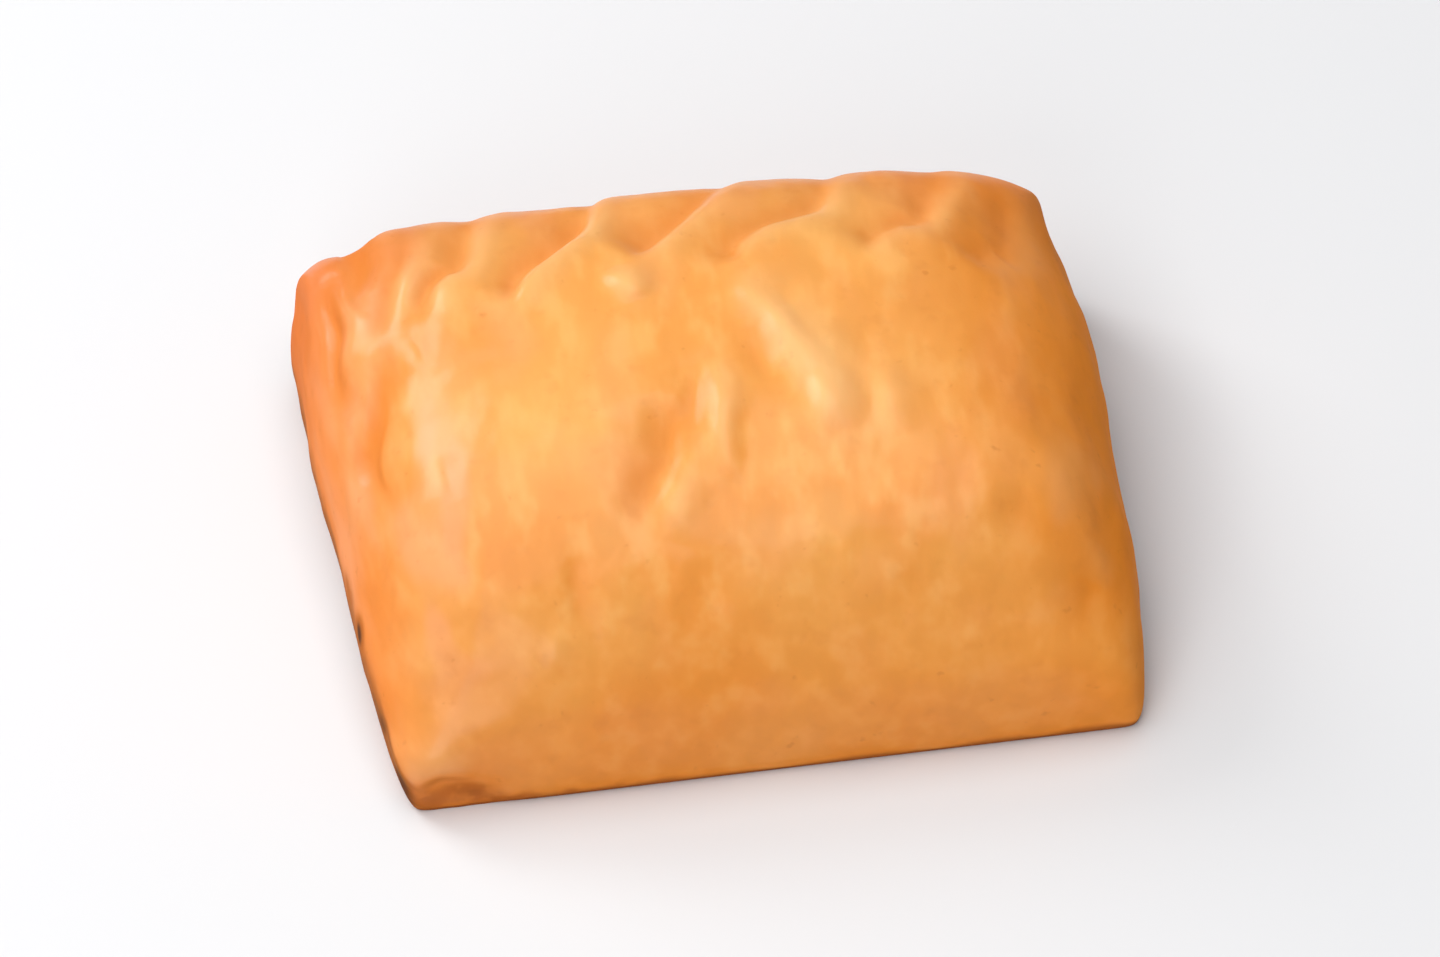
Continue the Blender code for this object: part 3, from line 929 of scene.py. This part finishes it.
def crust_material():
    """Egg-washed baked dough."""
    nodes = Nodes("egg_washed_crust")
    fields = crust_fields(nodes)
    colour = marked(nodes, fields, baked_dough(nodes, fields))
    nodes.put(nodes.shader.inputs["Base Color"], scorch_and_shade_spots(nodes, fields, browned(nodes, fields, colour)))
    wash = egg_wash(nodes, fields)
    glossy = nodes.steps(fields.mottle, *WASHED_ROUGHNESS)
    nodes.put(nodes.shader.inputs["Roughness"], nodes.steps(wash, 0.0, 1.0, DRY_ROUGHNESS, glossy))
    nodes.put(nodes.shader.inputs["Coat Weight"], nodes.times(wash, COAT))
    for name, value in FINISH.items():
        nodes.shader.inputs[name].default_value = value
    bump = nodes.add("ShaderNodeBump")
    for name, value in BUMP.items():
        bump.inputs[name].default_value = value
    height = nodes.combine("ADD", fields.mottle, nodes.times(fields.grain, GRAIN_SHARE))
    nodes.put(bump.inputs["Height"], height)
    nodes.put(nodes.shader.inputs["Normal"], bump.outputs["Normal"])
    return nodes.material


FLOOR_HALF = 2.5
FLOOR_COLOUR = (0.78, 0.78, 0.79, 1.0)
FLOOR_ROUGHNESS = 0.6


def floor():
    """A plain pale floor."""
    mesh = bpy.data.meshes.new("floor")
    corners = ((-1, -1), (1, -1), (1, 1), (-1, 1))
    mesh.from_pydata([(FLOOR_HALF * x, FLOOR_HALF * y, 0) for x, y in corners], [], [(0, 1, 2, 3)])
    plane = bpy.data.objects.new("floor", mesh)
    bpy.context.scene.collection.objects.link(plane)
    material = bpy.data.materials.new("pale_floor")
    material.use_nodes = True
    shader = material.node_tree.nodes["Principled BSDF"]
    shader.inputs["Base Color"].default_value = FLOOR_COLOUR
    shader.inputs["Roughness"].default_value = FLOOR_ROUGHNESS
    mesh.materials.append(material)


# Square lamps that aim at the origin: name, place, size and power.
SOFTBOXES = (
    ("overhead", (-0.16, -0.02, 0.72), 0.85, 5.2),
    ("window", (-0.42, 0.43, 0.42), 0.30, 2.1),
    ("front", (-0.30, -0.64, 0.40), 0.40, 1.5),
)
SURROUNDINGS_COLOUR = (0.95, 0.97, 1.0, 1.0)
SURROUNDINGS_STRENGTH = 0.22


def softbox(name, place, size, power):
    """A soft white lamp that the camera doesn't see."""
    data = bpy.data.lights.new(name, "AREA")
    data.shape = "SQUARE"
    data.size = size
    data.energy = power
    lamp = bpy.data.objects.new(name, data)
    lamp.location = place
    lamp.rotation_euler = (-Vector(place)).to_track_quat("-Z", "Y").to_euler()
    lamp.visible_camera = False
    bpy.context.scene.collection.objects.link(lamp)


def surroundings():
    """Faint light from all round."""
    world = bpy.data.worlds.new("surroundings")
    world.use_nodes = True
    background = world.node_tree.nodes["Background"]
    background.inputs["Color"].default_value = SURROUNDINGS_COLOUR
    background.inputs["Strength"].default_value = SURROUNDINGS_STRENGTH
    bpy.context.scene.world = world


# The camera's place, where the right side and the view of the photograph's camera point, the place that
# this one is turned to, its focal length and sensor in millimetres, and how near and how far it sees.
CAMERA_PLACE = (-0.05079, -0.62132, 0.72485)
PHOTO_RIGHT = (0.98075, -0.19137, 0.03874)
PHOTO_FORWARD = (0.15811, 0.66199, -0.73264)
CAMERA_AIM = (0.0005, -0.0010, 0.0110)
LENS = 232.0
SENSOR_WIDTH = 36.0
CLIP_START = 0.01
CLIP_END = 50.0


def camera():
    """The photograph's viewing angle, turned so that the pastry is in the middle of the picture."""
    data = bpy.data.cameras.new("camera")
    data.sensor_width = SENSOR_WIDTH
    data.lens = LENS
    data.clip_start = CLIP_START
    data.clip_end = CLIP_END
    seen = bpy.data.objects.new("camera", data)
    forward = Vector(PHOTO_FORWARD).normalized()
    aimed = (Vector(CAMERA_AIM) - Vector(CAMERA_PLACE)).normalized()
    turn = forward.rotation_difference(aimed)
    right = turn @ Vector(PHOTO_RIGHT).normalized()
    right = (right - aimed * right.dot(aimed)).normalized()
    up = right.cross(aimed)
    axes = Matrix((right, up, -aimed)).transposed().to_4x4()
    seen.matrix_world = Matrix.Translation(CAMERA_PLACE) @ axes
    bpy.context.scene.collection.objects.link(seen)
    bpy.context.scene.camera = seen


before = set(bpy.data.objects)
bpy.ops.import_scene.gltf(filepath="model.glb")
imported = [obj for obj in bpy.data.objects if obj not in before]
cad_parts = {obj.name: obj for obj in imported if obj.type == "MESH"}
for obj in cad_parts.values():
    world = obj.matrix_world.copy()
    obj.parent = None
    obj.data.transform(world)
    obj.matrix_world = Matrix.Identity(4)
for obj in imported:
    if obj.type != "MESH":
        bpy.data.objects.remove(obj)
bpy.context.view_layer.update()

skin = pastry_mesh()
skin.materials.append(crust_material())
crust = bpy.data.objects.new("fatayer_crust", skin)
bpy.context.scene.collection.objects.link(crust)
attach(crust, "root")
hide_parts("pastry")

floor()
for lamp in SOFTBOXES:
    softbox(*lamp)
surroundings()
bpy.context.scene.view_settings.view_transform = "Standard"
camera()
